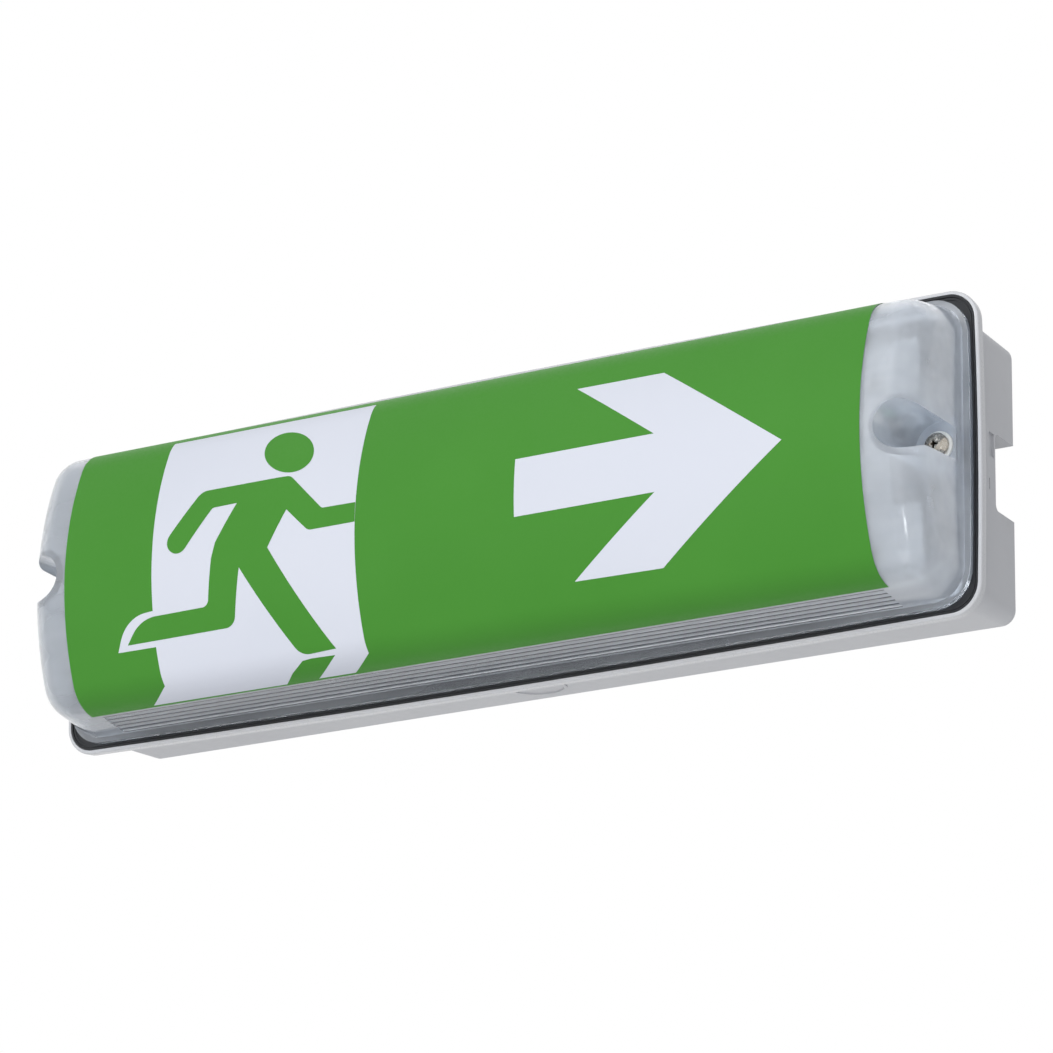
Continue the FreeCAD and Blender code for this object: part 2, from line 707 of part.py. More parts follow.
def make_spacers():
    spacers = []
    for x, z in board_corners(spacer_inset):
        post = disc(spacer_radius, floor_wall + seat_gap, board_distance - seat_gap, x, z)
        pin = disc(spacer_pin, board_distance - 1, board_front + 1.4, x, z)
        tip = Part.makeCone(spacer_pin + 0.5, 0.7, 1.8, at(x, board_front + 0.1, z), FreeCAD.Vector(0, -1, 0))
        spacers.append(fuse_all(post, [pin, tip]))
    return Part.makeCompound(spacers)


def transformer_x():
    return board_x + board_length * 0.14


def make_core():
    """Two E halves of ferrite round the winding."""
    length, height, width = core_size
    x, near = transformer_x(), board_front + seat_gap + 1.0
    core = block(x - length / 2, x + length / 2, near, near + height, board_z - width / 2,
                 board_z + width / 2)
    window = block(x - length / 2 + 4.5, x + length / 2 - 4.5, near + 3.5, near + height - 3.5,
                   board_z - width, board_z + width)
    leg = block(x - 3.0, x + 3.0, near, near + height, board_z - width / 2, board_z + width / 2)
    return core.cut(window).fuse(leg).removeSplitter()


def make_coil():
    """The bobbin and its winding, round the core's middle leg, with its foot on the board."""
    length, height, width = coil_size
    core_height = core_size[1]
    x, near = transformer_x(), board_front + seat_gap
    middle = near + 1.0 + core_height / 2
    reach = core_height / 2 - 3.5 - 0.2
    coil = block(x - length / 2, x + length / 2, middle - reach, middle + reach,
                 board_z - width / 2, board_z + width / 2)
    edges = [e for e in coil.Edges if abs(e.tangentAt(e.FirstParameter).y) > 0.99]
    coil = coil.makeFillet(2.0, edges)
    coil = coil.cut(block(x - 3.2, x + 3.2, near, near + 30, board_z - width, board_z + width).common(
        block(x - 3.2, x + 3.2, near, near + 30, board_z - core_size[2] / 2 - 0.2,
              board_z + core_size[2] / 2 + 0.2)))
    feet = [block(x - length / 2, x + length / 2, near, middle, board_z + side * (width / 2 - 1.0) - 1.0,
                  board_z + side * (width / 2 - 1.0) + 1.0) for side in (-1, 1)]
    return fuse_all(coil, feet)


def make_capacitors():
    """Upright cans with a rolled groove near the board."""
    cans = []
    for share, width, rise, offset in ((-0.35, 1.0, 1.0, -1.0), (-0.29, 0.8, 0.6, 0.9),
                                       (-0.21, 1.25, 1.1, 0.0), (0.32, 1.0, 0.8, -1.0)):
        radius, height = width * capacitor_radius, rise * capacitor_height
        x, near = board_x + share * board_length, board_front + seat_gap
        z = board_z + offset * capacitor_offset
        profile = [(0, 0), (radius, 0), (radius, 1.2), (radius - 0.6, 1.8), (radius, 2.4),
                   (radius, height - 0.6), (radius - 0.6, height), (0, height)]
        wire = Part.makePolygon([at(r, near + h, 0) for r, h in profile + profile[:1]])
        can = Part.Face(wire).revolve(at(0, 0, 0), FreeCAD.Vector(0, 1, 0), 360)
        can.translate(FreeCAD.Vector(x, 0, z))
        cans.append(can)
    return Part.makeCompound(cans)


def make_transistors():
    """Two power transistors, each with its tab against a small folded cooling plate."""
    pieces = []
    for share in (-0.12, -0.05):
        x, near = board_x + share * board_length, board_front + seat_gap
        z = board_z + 9.0
        plastic = block(x - 5, x + 5, near + 3.0, near + 12.0, z, z + 4.0)
        tab = block(x - 5, x + 5, near + 3.0, near + 16.0, z + 4.0, z + 5.2)
        hole = Part.makeCylinder(1.8, 4, at(x, near + 14.0, z + 3), FreeCAD.Vector(0, 0, 1))
        legs = [block(x + step - 0.4, x + step + 0.4, near, near + 3.5, z + 1.6, z + 2.2)
                for step in (-2.5, 0, 2.5)]
        pieces.append(fuse_all(plastic, [tab.cut(hole)] + legs))
    return Part.makeCompound(pieces)


def connector_places():
    """Centre x and z and ways of each plug-in header on the board."""
    right = board_x + board_length / 2 - connector_inset
    left = board_x - board_length / 2 + connector_inset
    up, down = board_z + connector_offset, board_z - connector_drop
    return {"mains": (right, up, 3), "lamp": (left, up, 2),
            "lamp_far": (right - connector_gap, up, 2), "battery": (board_x, down, 2)}


def make_connectors():
    height, width = connector_size
    headers = []
    for x, z, ways in connector_places().values():
        length = ways * connector_way + 1.5
        near = board_front + seat_gap
        body = block(x - length / 2, x + length / 2, near, near + height, z - width / 2, z + width / 2)
        holes = [disc(lead_radius + 0.3, near + height - 4.0, near + height + 1,
                      x + (way - (ways - 1) / 2) * connector_way, z) for way in range(ways)]
        headers.append(cut_all(body, holes))
    return Part.makeCompound(headers)


# ---------------------------------------------------------------- battery pack
def battery_half():
    return cell_count * cell_length / 2


def make_battery():
    """Cells end to end under one shrunk sleeve, which waists in at each joint."""
    half = battery_half()
    profile = [(-half, 0), (-half, cell_radius - 3.5), (-half + 1.0, cell_radius - 1.2),
               (-half + 2.5, cell_radius)]
    for joint in range(1, cell_count):
        x = -half + joint * cell_length
        profile += [(x - 2.0, cell_radius), (x, cell_radius - cell_waist), (x + 2.0, cell_radius)]
    profile += [(half - 2.5, cell_radius), (half - 1.0, cell_radius - 1.2), (half, cell_radius - 3.5),
                (half, 0)]
    wire = Part.makePolygon([FreeCAD.Vector(x, 0, r) for x, r in profile + profile[:1]])
    pack = Part.Face(wire).revolve(FreeCAD.Vector(0, 0, 0), FreeCAD.Vector(1, 0, 0), 360)
    pack.translate(at(battery_x, battery_distance, battery_z))
    return pack


def strap_places():
    return [battery_x + side * cell_length for side in (-0.5, 0.5)]


def make_straps():
    """Moulded straps over the pack, with a foot each side on the floor."""
    straps = []
    inner, outer = strap_inner, strap_outer
    for x in strap_places():
        low, high = x - strap_width / 2, x + strap_width / 2
        arch = bar_x(outer, low, high, battery_distance, battery_z)
        legs = block(low, high, floor_wall + seat_gap, battery_distance, battery_z - outer, battery_z + outer)
        feet = block(low, high, floor_wall + seat_gap, floor_wall + 2.0, battery_z - outer - strap_foot,
                     battery_z + outer + strap_foot)
        room = block(low - 1, high + 1, floor_wall, battery_distance, battery_z - inner, battery_z + inner)
        strap = fuse_all(arch, [legs, feet]).cut(bar_x(inner, low - 1, high + 1, battery_distance, battery_z))
        straps.append(strap.cut(room))
    return Part.makeCompound(straps)


# ---------------------------------------------------------------- mains terminals and indicator
def terminal_ways_x():
    return [terminal_x + (way - (terminal_ways - 1) / 2) * terminal_pitch for way in range(terminal_ways)]


def make_terminals():
    """A strip of insulated barrels, each with a wire way through it and a screw shaft down to it."""
    near = floor_wall + seat_gap
    base_half = terminal_ways * terminal_pitch / 2
    strip = block(terminal_x - base_half, terminal_x + base_half, near, near + 4.0,
                  terminal_z - terminal_width / 2, terminal_z + terminal_width / 2)
    towers, holes = [], []
    for x in terminal_ways_x():
        tower = block(x - terminal_pitch / 2 + 0.6, x + terminal_pitch / 2 - 0.6, near + 2.0,
                      near + terminal_height, terminal_z - terminal_width / 2 + 2,
                      terminal_z + terminal_width / 2 - 2)
        towers.append(tower)
        foot = at(x, near + terminal_wire, terminal_z - terminal_width)
        holes.append(Part.makeCylinder(1.6, 2 * terminal_width, foot, FreeCAD.Vector(0, 0, 1)))
        holes += [disc(terminal_screw_radius + 0.15, near + terminal_wire, near + terminal_height + 1, x,
                       terminal_z + side * 3.6) for side in (-1, 1)]
    return cut_all(fuse_all(strip, towers), holes)


def make_terminal_screws():
    screws = []
    near = floor_wall + seat_gap + terminal_wire + 1.8
    for x in terminal_ways_x():
        for side in (-1, 1):
            z = terminal_z + side * 3.6
            screw = disc(terminal_screw_radius, near, near + 4.0, x, z)
            slot = block(x - 3, x + 3, near + 3.0, near + 5.0, z - 0.35, z + 0.35)
            screws.append(screw.cut(slot))
    return Part.makeCompound(screws)


def make_led():
    """A domed indicator with its flange behind the bezel and two legs."""
    near = tray_front - 2.0
    stem = disc(led_radius, near, near + led_height - led_radius, led_x, led_z)
    dome = Part.makeSphere(led_radius, at(led_x, near + led_height - led_radius, led_z))
    flange = disc(led_radius + 0.4, near - 1.0, near, led_x, led_z)
    legs = [disc(0.3, near - 5.0, near - 0.5, led_x + side * 1.27, led_z) for side in (-1, 1)]
    return fuse_all(stem, [dome, flange] + legs)


def make_bezel():
    near = tray_front + seat_gap
    ring = disc(bezel_radius, near, near + 1.4, led_x, led_z)
    upper = [e for e in ring.Edges if isinstance(e.Curve, Part.Circle)
             and abs(e.BoundBox.YMin + near + 1.4) < 0.01]
    ring = ring.makeFillet(0.8, upper)
    return ring.cut(disc(led_radius + 0.1, near - 1, near + 3, led_x, led_z))


# ---------------------------------------------------------------- wall fixings and cable entry
def make_fixing_seals():
    near = floor_wall + fixing_boss_height + seat_gap
    seal = disc(fixing_boss - 0.8, near, near + seal_height, fixing_spacing / 2).cut(
        disc(fixing_hole, near - 1, near + seal_height + 1, fixing_spacing / 2))
    return Part.makeCompound(both_ends(seal))


def make_grommet():
    """A grooved rubber grommet in the left notch's inner wall."""
    face = -(body_length_back / 2 - notch_reach)
    outside, inside = face - grommet_gap, face + wall + grommet_gap
    flange = grommet_hole + grommet_overlap
    body = bar_x(grommet_hole - grommet_gap, outside - grommet_lip, inside + grommet_lip, grommet_distance, 0)
    lips = [bar_x(flange, outside - grommet_lip, outside, grommet_distance, 0),
            bar_x(flange, inside, inside + grommet_lip, grommet_distance, 0)]
    return fuse_all(body, lips).cut(bar_x(grommet_bore, face - 10, face + 10, grommet_distance, 0))


# ---------------------------------------------------------------- leads
def lead(points, radius=None):
    """An insulated lead: straight runs joined by arcs as large as its runs allow."""
    radius = radius or lead_radius
    points = [at(*p) for p in points]
    edges = []
    start = points[0]
    for before, corner, after in zip(points, points[1:], points[2:]):
        into = (corner - before).normalize()
        out = (after - corner).normalize()
        run = 0.45 * min((corner - before).Length, (after - corner).Length)
        first, last = corner - into * run, corner + out * run
        half_turn = into.getAngle(out) / 2
        bend = run / math.tan(half_turn)
        inward = (out - into).normalize()
        middle = corner + inward * (bend / math.cos(half_turn) - bend)
        edges += [Part.makeLine(start, first), Part.Arc(first, middle, last).toShape()]
        start = last
    edges.append(Part.makeLine(start, points[-1]))
    path = Part.Wire(edges)
    direction = (points[1] - points[0]).normalize()
    ring = Part.Wire([Part.Circle(points[0], direction, radius).toShape()])
    return path.makePipeShell([ring], True, True)


def make_leads():
    """Each loom's leads run from a header on the board to the piece that they feed."""
    places = connector_places()
    top = board_front + seat_gap + connector_size[0] + 0.2
    looms = {}

    def way_x(name, way):
        x, _, ways = places[name]
        return x + (way - (ways - 1) / 2) * connector_way

    holder_x = tube_half + holder_gap + holder_thickness / 2
    under = tray_distance - 4.2
    end_x = battery_x + battery_half()
    wire = floor_wall + seat_gap + terminal_wire
    rise, reach, spread = lead_rise, lead_reach, lead_spread
    for name, ways in (("lamp_leads_left", 2), ("lamp_leads_right", 2), ("battery_leads", 2),
                       ("mains_leads", 2)):
        looms[name] = []
        for way in range(ways):
            part = (2 * way - 1) * spread
            if name == "lamp_leads_left":
                x, z = way_x("lamp", way), places["lamp"][1]
                route = [(x, top, z), (x, top + 1.4 * rise, z),
                         (x - 1.2 * reach, top + 2 * rise, z - 0.8 * rise + 0.7 * part),
                         (-holder_x + 1.6 * rise, under - 1.8 * rise, reach + part),
                         (-holder_x, under - 1.2 * rise, part), (-holder_x, under, part)]
            elif name == "lamp_leads_right":
                x, z = way_x("lamp_far", way), places["lamp_far"][1]
                route = [(x, top, z), (x, top + 1.2 * rise, z),
                         (x + reach, top + 2 * rise, z - 1.6 * rise + 0.7 * part),
                         (holder_x / 2, top + 2.2 * rise, 1.2 * reach + part),
                         (holder_x - 1.2 * reach, under - 1.6 * rise, 0.75 * reach + part),
                         (holder_x, under - 1.2 * rise, part), (holder_x, under, part)]
            elif name == "battery_leads":
                x, z = way_x("battery", way), places["battery"][1]
                route = [(x, top, z), (x, top + rise, z),
                         (x + reach, top + 1.6 * rise, z - 1.2 * rise - 0.3 * part),
                         (end_x - 0.8 * rise, top + 1.2 * rise,
                          battery_z + cell_radius + 1.4 * rise - 0.7 * part),
                         (end_x + 1.6 * rise, top, battery_z + 3 * rise - part),
                         (end_x + 1.6 * rise, battery_distance + part, battery_z + 0.4 * rise - 0.7 * part),
                         (end_x + 0.8 * rise, battery_distance + part, battery_z - 0.7 * part),
                         (end_x + 4 * seat_gap, battery_distance + part, battery_z - 0.7 * part)]
            else:
                x, z = way_x("mains", way), places["mains"][1]
                target, edge = terminal_ways_x()[way], terminal_z + terminal_width / 2
                route = [(x, top, z), (x, top + 0.8 * rise, z),
                         (x + 1.6 * rise + (way * spread), top + rise, z + 0.6 * rise),
                         (target, top - 0.4 * rise, edge + 1.9 * rise), (target, wire, edge + 1.3 * rise),
                         (target, wire, edge - 0.3 * rise)]
            looms[name].append(lead(route))
    return {name: Part.makeCompound(solids) for name, solids in looms.items()}


# ---------------------------------------------------------------- build
def main():
    os.makedirs("parts", exist_ok=True)
    parts = {
        "base_housing": make_base(),
        "rim_gasket": make_gasket(),
        "lens_cover": make_cover(),
        "sign_film": make_film(),
        "cover_screw_left": make_cover_screw(-1),
        "cover_screw_right": make_cover_screw(1),
        "cover_washers": make_cover_washers(),
        "gear_tray": make_tray(),
        "tray_screws": make_tray_screws(),
        "fluorescent_tube": make_tube(),
        "tube_caps": make_caps(),
        "tube_pins": make_pins(),
        "lampholder_right": make_holder(),
        "lampholder_left": mirrored_x(make_holder()),
        "holder_rotors": make_rotors(),
        "circuit_board": make_board(),
        "board_spacers": make_spacers(),
        "transformer_core": make_core(),
        "transformer_coil": make_coil(),
        "smoothing_capacitors": make_capacitors(),
        "power_transistors": make_transistors(),
        "board_connectors": make_connectors(),
        "battery_pack": make_battery(),
        "battery_straps": make_straps(),
        "mains_terminals": make_terminals(),
        "terminal_screws": make_terminal_screws(),
        "indicator_led": make_led(),
        "indicator_bezel": make_bezel(),
        "fixing_seals": make_fixing_seals(),
        "entry_grommet": make_grommet(),
    }
    parts.update(make_leads())
    for name, shape in parts.items():
        print(f"{name}: {len(shape.Solids)} solids, {shape.Volume:.0f} mm3, valid {shape.isValid()}")
        shape.exportStep(f"parts/{name}.step")


main()
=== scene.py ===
"""Looks of a wall-mounted emergency exit light. The part's frame is in metres, with the origin at
the middle of the wall face, +X along the light, +Z up and the cover towards -Y."""
import math
import bmesh
import bpy
from mathutils import Matrix, Vector


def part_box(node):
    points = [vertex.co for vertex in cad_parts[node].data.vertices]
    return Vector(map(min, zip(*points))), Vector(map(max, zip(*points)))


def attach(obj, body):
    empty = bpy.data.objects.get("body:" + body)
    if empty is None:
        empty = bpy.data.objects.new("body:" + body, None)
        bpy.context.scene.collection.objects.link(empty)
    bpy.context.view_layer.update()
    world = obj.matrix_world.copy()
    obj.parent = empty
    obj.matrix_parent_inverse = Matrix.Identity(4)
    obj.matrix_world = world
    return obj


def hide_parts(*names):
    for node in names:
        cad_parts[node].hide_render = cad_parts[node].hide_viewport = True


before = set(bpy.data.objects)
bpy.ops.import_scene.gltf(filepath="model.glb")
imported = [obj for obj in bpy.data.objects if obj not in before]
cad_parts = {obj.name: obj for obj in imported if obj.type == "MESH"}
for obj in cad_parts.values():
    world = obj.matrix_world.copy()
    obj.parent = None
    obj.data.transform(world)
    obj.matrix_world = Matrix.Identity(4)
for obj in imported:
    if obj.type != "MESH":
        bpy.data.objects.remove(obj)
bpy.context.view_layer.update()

# ---------------------------------------------------------------- camera, light and room
# A long lens looks at the light from its right and from below, as it hangs high on a wall. The room
# and its pale floor light it softly, and look plain white to the camera and in gloss and glass.
scene = bpy.context.scene
scene.view_settings.view_transform = "Standard"

camera = bpy.data.objects.new("camera", bpy.data.cameras.new("camera"))
scene.collection.objects.link(camera)
camera.data.sensor_width = 36.0
camera.data.lens = 175.5
camera.data.clip_start, camera.data.clip_end = 0.1, 50
camera_place = Vector((1.01318, -1.63580, -0.60397))
right = Vector((0.848418, 0.529142, 0.014002))
up = Vector((0.150625, -0.266700, 0.951937))
back = Vector((0.507444, -0.805531, -0.305975))
camera.matrix_world = Matrix.Translation(camera_place) @ Matrix((right, up, back)).transposed().to_4x4()
scene.camera = camera


class Socket:
    """A node's socket that can be used in sums; each sum adds the Math node that it needs."""

    def __init__(self, tree, link):
        self.tree, self.link = tree, link

    def math(self, operation, *values):
        return node(self.tree, "ShaderNodeMath", {"operation": operation},
                    dict(enumerate((self,) + values)))[0]

    def __add__(self, other):
        return self.math("ADD", other)

    def __mul__(self, other):
        return self.math("MULTIPLY", other)

    def __sub__(self, other):
        return self.math("SUBTRACT", other)

    def __rsub__(self, other):
        return (self * -1.0) + other

    __radd__, __rmul__ = __add__, __mul__

    def size(self):
        return self.math("ABSOLUTE")

    def above(self, edge):
        return self.math("GREATER_THAN", edge)

    def most(self, other):
        return self.math("MAXIMUM", other)


def node(tree, kind, settings=None, inputs=None):
    """Adds a node with its settings, then its inputs, and returns its outputs as sockets."""
    made = tree.nodes.new(kind)
    for key, value in (settings or {}).items():
        setattr(made, key, value)
    for key, value in (inputs or {}).items():
        socket = made.inputs[key]
        if isinstance(value, Socket):
            tree.links.new(value.link, socket)
        elif socket.type == "RGBA" and len(value) == 3:
            socket.default_value = (*value, 1)
        else:
            socket.default_value = value
    return [Socket(tree, out) for out in made.outputs]


def lit_and_seen(owner, ending, lighting, looks):
    """Gives a world or a material two shaders: one lights the part, and the other is what the camera
    sees, also in gloss and through glass."""
    owner.use_nodes = True
    tree = owner.node_tree
    tree.nodes.clear()
    rays = node(tree, "ShaderNodeLightPath")
    camera_ray, gloss_ray, glass_ray = rays[0], rays[3], rays[6]
    first, second = [node(tree, kind, {}, inputs)[0] for kind, inputs in (lighting, looks)]
    mixed = node(tree, "ShaderNodeMixShader", {},
                 {0: camera_ray.most(gloss_ray).most(glass_ray), 1: first, 2: second})[0]
    tree.links.new(mixed.link, tree.nodes.new(ending).inputs[0])


white = (1, 1, 1)
room = bpy.data.worlds.new("room")
scene.world = room
lit_and_seen(room, "ShaderNodeOutputWorld",
             ("ShaderNodeBackground", {"Color": (0.93, 0.95, 1.0), "Strength": 0.42}),
             ("ShaderNodeBackground", {"Color": white, "Strength": 1.0}))

floor_half, floor_level = 3, -2
floor = bpy.data.objects.new("floor", bpy.data.meshes.new("floor"))
floor.data.from_pydata([(x * floor_half, y * floor_half, floor_level)
                        for x, y in ((-1, -1), (1, -1), (1, 1), (-1, 1))], [], [(0, 1, 2, 3)])
scene.collection.objects.link(floor)
pale = bpy.data.materials.new("pale floor")
lit_and_seen(pale, "ShaderNodeOutputMaterial",
             ("ShaderNodeBsdfDiffuse", {"Color": (0.8, 0.8, 0.8)}),
             ("ShaderNodeEmission", {"Color": white, "Strength": 1.0}))
floor.data.materials.append(pale)

lamp_target = Vector((0, -0.04, 0))


def lamp(name, place, size, power, mirrored=False):
    """A soft square lamp that points at the light; only a mirrored one shows in glossy faces."""
    data = bpy.data.lights.new(name, "AREA")
    data.shape, data.size, data.energy = "SQUARE", size, power
    made = bpy.data.objects.new(name, data)
    scene.collection.objects.link(made)
    made.location = place
    made.rotation_euler = (lamp_target - Vector(place)).to_track_quat("-Z", "Y").to_euler()
    made.visible_glossy = mirrored


lamp("key", (-0.25, -1.7, 0.9), size=1.4, power=17)
lamp("fill", (0.9, -1.7, 0.3), size=1.2, power=6)
lamp("low", (0.2, -1.0, -1.3), size=1.0, power=8)
lamp("spark", (1.05, -1.65, -0.5), size=0.24, power=0.9, mirrored=True)

# ---------------------------------------------------------------- base housing
# One moulding in light grey polycarbonate with a fine spark texture on its body and a polished rim.
# The deep body stands on the wall; the rim carries the gasket and takes the cover's flange.

class Finish:
    """A new material with its shader; patterns are asked for by size in metres."""

    def __init__(self, name, **sockets):
        self.material = bpy.data.materials.new(name)
        self.material.use_nodes = True
        self.tree = self.material.node_tree
        self.tree.nodes.clear()
        self.place = self.node("ShaderNodeTexCoord")[3]
        self.shader_inputs = sockets

    def node(self, kind, settings=None, inputs=None):
        return node(self.tree, kind, settings, inputs)

    def noise(self, size, detail=2.0, stretch=(1, 1, 1)):
        stretched = self.node("ShaderNodeMapping", {}, {"Vector": self.place, "Scale": stretch})[0]
        return self.node("ShaderNodeTexNoise", {}, {"Vector": stretched, "Scale": 1.0 / size,
                                                    "Detail": detail})[0]

    def blend(self, share, first, second):
        return self.node("ShaderNodeMix", {"data_type": "RGBA"},
                         {0: share, 6: first, 7: second})[2]

    def spread(self, value, taken, given):
        """A value turned from the range taken to the range given, and held at its ends."""
        return self.node("ShaderNodeMapRange", {}, {
            "Value": value, "From Min": taken[0], "From Max": taken[1],
            "To Min": given[0], "To Max": given[1]})[0]

    def parts(self):
        """Where a point lies along X, Y and Z, in metres."""
        return self.node("ShaderNodeSeparateXYZ", {}, {0: self.place})

    def bump(self, height, depth, strength=1.0):
        return self.node("ShaderNodeBump", {}, {"Height": height, "Distance": depth,
                                                "Strength": strength})[0]

    def done(self, *mixes, **more):
        """Finishes the plain shader; each mix lays another shader over it by share."""
        inputs = {key.replace("_", " ").title().replace("Ior", "IOR"): value
                  for key, value in {**self.shader_inputs, **more}.items()}
        shader = self.node("ShaderNodeBsdfPrincipled", {}, inputs)[0]
        for share, other in mixes:
            shader = self.node("ShaderNodeMixShader", {}, {0: share, 1: shader, 2: other})[0]
        output = self.tree.nodes.new("ShaderNodeOutputMaterial")
        self.tree.links.new(shader.link, output.inputs[0])
        return self.material


def paint(red, green, blue):
    """A colour given as it looks, from 0 to 255, as the linear numbers a shader takes."""
    return tuple((c / 255 / 12.92) if c <= 10 else ((c / 255 + 0.055) / 1.055) ** 2.4
                 for c in (red, green, blue))


def smooth_copy(cad_name, crease=35.0, edge_round=0.0):
    """A merged copy of a solid's mesh, smooth except where faces meet at more than the crease angle
    in degrees; edge_round softens sharp edges by that much."""
    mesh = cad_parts[cad_name].data.copy()
    shape = bmesh.new()
    shape.from_mesh(mesh)
    bmesh.ops.remove_doubles(shape, verts=shape.verts, dist=2e-6)
    bmesh.ops.dissolve_degenerate(shape, edges=shape.edges, dist=1e-6)
    for face in shape.faces:
        face.smooth = True
    for edge in shape.edges:
        edge.smooth = len(edge.link_faces) == 2 and edge.calc_face_angle(0) < math.radians(crease)
    shape.to_mesh(mesh)
    shape.free()
    mesh.name = cad_name + "_shape"
    if edge_round:
        helper = bpy.data.objects.new("helper", mesh)
        scene.collection.objects.link(helper)
        bevel = helper.modifiers.new("edge", "BEVEL")
        bevel.width, bevel.segments = edge_round, 2
        bevel.limit_method, bevel.angle_limit = "ANGLE", math.radians(40)
        bevel.harden_normals = True
        graph = bpy.context.evaluated_depsgraph_get()
        mesh = bpy.data.meshes.new_from_object(helper.evaluated_get(graph))
        bpy.data.objects.remove(helper)
    return mesh


def new_piece(name, mesh, material, body, slot_name, *replaced):
    """Makes an object of a finished mesh that rides on a body."""
    made = bpy.data.objects.new(name, mesh)
    scene.collection.objects.link(made)
    mesh.materials.clear()
    mesh.materials.append(material)
    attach(made, body)
    if replaced:
        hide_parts(*replaced)
    return made


rim_back, polish_fade = -0.0405, 0.0003
grain_depth, moulded_edge = 0.00004, 0.0004
plastic = Finish("housing plastic", coat_roughness=0.12)
cloud = plastic.spread(plastic.noise(0.09, 3), (0.35, 0.65), (0, 1))
grain = plastic.noise(0.0006, 2)
dirt = plastic.spread(plastic.noise(0.02, 4), (0.62, 0.8), (0, 0.25))
clean_plastic = plastic.blend(cloud, paint(203, 204, 207), paint(210, 211, 213))
rim_polish = plastic.spread(plastic.parts()[1], (rim_back + polish_fade, rim_back - polish_fade), (0, 1))
housing_material = plastic.done(
    base_color=plastic.blend(dirt, clean_plastic, paint(180, 179, 176)),
    coat_weight=rim_polish * 0.6 + 0.05,
    roughness=plastic.spread(grain, (0.3, 0.7), (0.4, 0.52)) - rim_polish * 0.15,
    normal=plastic.bump(grain * (1 - rim_polish), grain_depth, 0.6))
new_piece("housing_moulding", smooth_copy("base_housing", edge_round=moulded_edge), housing_material,
          "base", "housing", "base_housing")

# ---------------------------------------------------------------- rim gasket
# A black rubber strip pressed into the rim's channel. Its two moulded beads stand outside the
# cover's flange and catch the light.
rubber = Finish("gasket rubber", roughness=0.45)
bloom = rubber.noise(0.004, 3)
gasket_material = rubber.done(base_color=rubber.blend(bloom, paint(22, 23, 26), paint(46, 48, 52)),
                              roughness=rubber.spread(bloom, (0.3, 0.7), (0.35, 0.6)))
new_piece("gasket_strip", smooth_copy("rim_gasket"), gasket_material, "base", "gasket", "rim_gasket")

# ---------------------------------------------------------------- clear cover
# Injection-moulded clear polycarbonate, slightly milky with age. Fine flutes run along both side
# walls beside the film and break the view of the gear.
flute_count, flute_pitch, flute_first = 5, 0.0029, -0.04775
flute_half_length, flute_wall = 0.1755, 0.052
flange_front, flange_fade = -0.0468, 0.0003
flange_side, flange_end = -0.0466, 0.2014
clear = Finish("clear cover", ior=1.45, transmission_weight=1.0, coat_weight=1.0, coat_roughness=0.04)
haze = clear.noise(0.03, 3, (0.3, 1, 1))
fine = clear.noise(0.0015, 2)
along, depth, height = clear.parts()
dome = clear.spread(depth, (flange_front + flange_fade, flange_front), (0.1, 1.0))
# Painted shade: the clear flange's outer edge is painted dark, for the dark gap over the black gasket.
painted_flange_shade = depth.above(flange_side) * along.size().above(flange_end)

# Between the flutes the wall stays flat. These lands are painted as dark lines: painted shade for the dark
# lines that the flutes show in the clear plastic.
across_flutes = ((flute_first - depth) * (1 / flute_pitch)).math("FRACT")
land = clear.spread((across_flutes - 0.5).size(), (0.36, 0.42), (0, 1))
past_first = flute_first - depth
before_last = depth - flute_first + (flute_count + 0.1) * flute_pitch
within_length = flute_half_length - along.size()
painted_flute_lines = (land * height.size().above(flute_wall) * within_length.above(0)
          * past_first.above(0) * before_last.above(0))

# The milk in the plastic is a share of a dull and a light-passing shader over the clear one; a lamp's
# rays pass it all. Painted shade and light: the end away from the lamps is painted greyer and has less
# milk, the lit end more.
clear_tone, milk_tone, passed_tone = paint(242, 245, 249), paint(226, 232, 240), paint(238, 242, 247)
cloudy = clear.blend(haze, milk_tone, clear_tone)
# Painted shade: the flute lands take a dark grey in the milk's colour.
shaded = clear.blend(painted_flute_lines, cloudy, paint(50, 54, 62))
gloss = clear.node("ShaderNodeBsdfPrincipled", {}, {
    "Base Color": clear.blend(painted_flange_shade, shaded, paint(40, 44, 52)), "Roughness": 0.35,
    "Coat Weight": 1 - painted_flute_lines * 0.45, "Coat Roughness": 0.04})[0]
glow = clear.node("ShaderNodeBsdfTranslucent", {}, {"Color": paint(234, 239, 245)})[0]
milk = clear.node("ShaderNodeMixShader", {}, {0: (1 - painted_flute_lines) * 0.45, 1: gloss, 2: glow})[0]
passing = clear.node("ShaderNodeBsdfTransparent", {}, {"Color": passed_tone})[0]
from_lamp = clear.node("ShaderNodeLightPath")[1]
# Painted shade and light along the cover: 0 at the end away from the lamps, 1 towards the lit end.
painted_lit_end = clear.spread(along, (-0.18, 0.1), (0, 1))
cloud_share = dome * clear.spread(haze, (0.3, 0.7), (0.18, 0.36)) * (painted_lit_end * 0.3 + 0.95)
marked = cloud_share.most(painted_flute_lines * 0.8).most(painted_flange_shade * 0.85)
cover_material = clear.done(
    (marked, milk), (from_lamp, passing),
    base_color=clear.blend(painted_lit_end.most(1 - dome), paint(200, 205, 210),
                           clear.blend(haze, paint(234, 239, 245), clear_tone)),
    roughness=clear.spread(fine, (0.3, 0.7), (0.11, 0.16)))
new_piece("clear_cover", smooth_copy("lens_cover"), cover_material, "cover", "lens", "lens_cover")

# ---------------------------------------------------------------- sign film
# A white polyester film, printed green, wrapped over the crown and both shoulders of the cover. The
# printed shapes are laid out flat, as length along the light and girth up from its middle line.
crown_radius, shoulder_radius, side_draft = 0.118, 0.016, math.radians(10)
foot_half, foot_depth = 0.0578, 0.0448        # where the cover's side wall meets the rim
film_stand = 0.0003                           # outer face of the film above the cover
film_left, film_right, film_half_girth = -179.5, 178.5, 62.8        # flat, in millimetres

